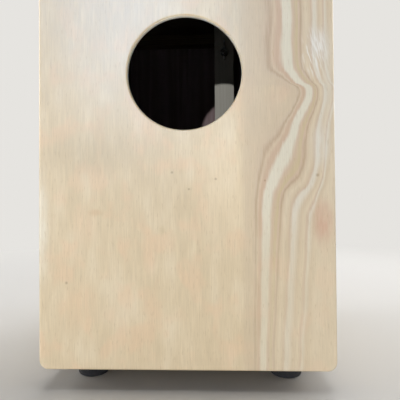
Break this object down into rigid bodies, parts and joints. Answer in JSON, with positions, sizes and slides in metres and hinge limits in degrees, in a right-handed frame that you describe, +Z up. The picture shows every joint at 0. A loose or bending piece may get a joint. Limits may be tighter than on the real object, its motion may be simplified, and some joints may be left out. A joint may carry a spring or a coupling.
{
  "type": "pedal cajon",
  "caption": "Upright wooden box drum with a thin playing face, a round sound hole in the back, rubber feet, adjustable snares inside and a slide-out steel plate for a kick pedal.",
  "frame": {"origin": "on the floor under the middle of the bounding box, with the cajon standing on its feet", "axes": "+Z up from the feet to the seat, -Y out of the tapa that is played, +Y out of the back panel with the sound hole, +X to the right as seen from the front"},
  "size_m": [0.3, 0.3, 0.5],
  "materials": {
    "pale_wood": "pale veneer plywood, clear satin lacquer",
    "seat_wood": "pale veneer plywood, clear satin lacquer, edges rounded",
    "tapa_wood": "reddish brown veneer, clear satin lacquer",
    "inner_wood": "bare sawn softwood",
    "post_wood": "bare planed wood",
    "hardwood": "oiled beech",
    "rubber": "moulded dark grey rubber",
    "zinc_steel": "zinc plated",
    "black_screw": "black oxide",
    "black_steel": "black powder coat",
    "snare_steel": "bright wound steel wire",
    "brass": "plain turned brass"
  },
  "bodies": {
    "box": {"back_panel": "pale_wood", "bottom_board": "pale_wood", "corner_fillet_bottom_left": "inner_wood", "corner_fillet_bottom_right": "inner_wood", "corner_fillet_top_left": "inner_wood", "corner_fillet_top_right": "inner_wood", "foot_back_left": "rubber", "foot_back_right": "rubber", "foot_front_left": "rubber", "foot_front_right": "rubber", "foot_screw_back_left": "zinc_steel", "foot_screw_back_right": "zinc_steel", "foot_screw_front_left": "zinc_steel", "foot_screw_front_right": "zinc_steel", "front_batten_bottom": "inner_wood", "front_batten_left": "inner_wood", "front_batten_right": "inner_wood", "front_batten_top": "inner_wood", "left_side": "pale_wood", "lock_insert": "brass", "lock_nut_lower": "zinc_steel", "lock_nut_upper": "zinc_steel", "plate_rail_left": "black_steel", "plate_rail_right": "black_steel", "rail_screw_left_back": "zinc_steel", "rail_screw_left_front": "zinc_steel", "rail_screw_right_back": "zinc_steel", "rail_screw_right_front": "zinc_steel", "right_side": "pale_wood", "snare_post": "post_wood", "tapa": "tapa_wood", "tapa_screw_bottom_1": "black_screw", "tapa_screw_bottom_2": "black_screw", "tapa_screw_left_1": "black_screw", "tapa_screw_left_2": "black_screw", "tapa_screw_left_3": "black_screw", "tapa_screw_left_4": "black_screw", "tapa_screw_right_1": "black_screw", "tapa_screw_right_2": "black_screw", "tapa_screw_right_3": "black_screw", "tapa_screw_right_4": "black_screw", "tapa_screw_top_1": "black_screw", "tapa_screw_top_2": "black_screw", "top_board": "seat_wood"},
    "pedal_slide": {"pedal_plate": "black_steel", "hoop_block": "hardwood", "hoop_screw_left": "zinc_steel", "hoop_screw_right": "zinc_steel"},
    "lock_knob": {"lock_screw": "black_steel"},
    "snare_slide": {"snare_carrier": "inner_wood", "snare_wires": "snare_steel", "snare_screw_upper": "zinc_steel", "snare_screw_lower": "zinc_steel", "snare_bolt_upper": "zinc_steel", "snare_bolt_lower": "zinc_steel"},
    "upper_wing_nut": {"wing_nut_upper": "zinc_steel"},
    "lower_wing_nut": {"wing_nut_lower": "zinc_steel"}
  },
  "joints": [
    {"name": "pedal_plate_slide", "type": "slide", "parent": "box", "child": "pedal_slide", "axis": [0, -1, 0], "range_m": [0, 0.045]},
    {"name": "lock_screw_turn", "type": "hinge", "parent": "box", "child": "lock_knob", "pos_m": [0, -0.09, 0.0157], "axis": [0, 0, -1], "range_deg": [0, 720]},
    {"name": "snare_carrier_slide", "type": "slide", "parent": "box", "child": "snare_slide", "axis": [0, 1, 0], "range_m": [0, 0.012]},
    {"name": "wing_nut_upper_turn", "type": "hinge", "parent": "box", "child": "upper_wing_nut", "pos_m": [-0.047, -0.057, 0.425], "axis": [0, 1, 0], "range_deg": [0, 720]},
    {"name": "wing_nut_lower_turn", "type": "hinge", "parent": "box", "child": "lower_wing_nut", "pos_m": [-0.047, -0.057, 0.28], "axis": [0, 1, 0], "range_deg": [0, 720]}
  ]
}
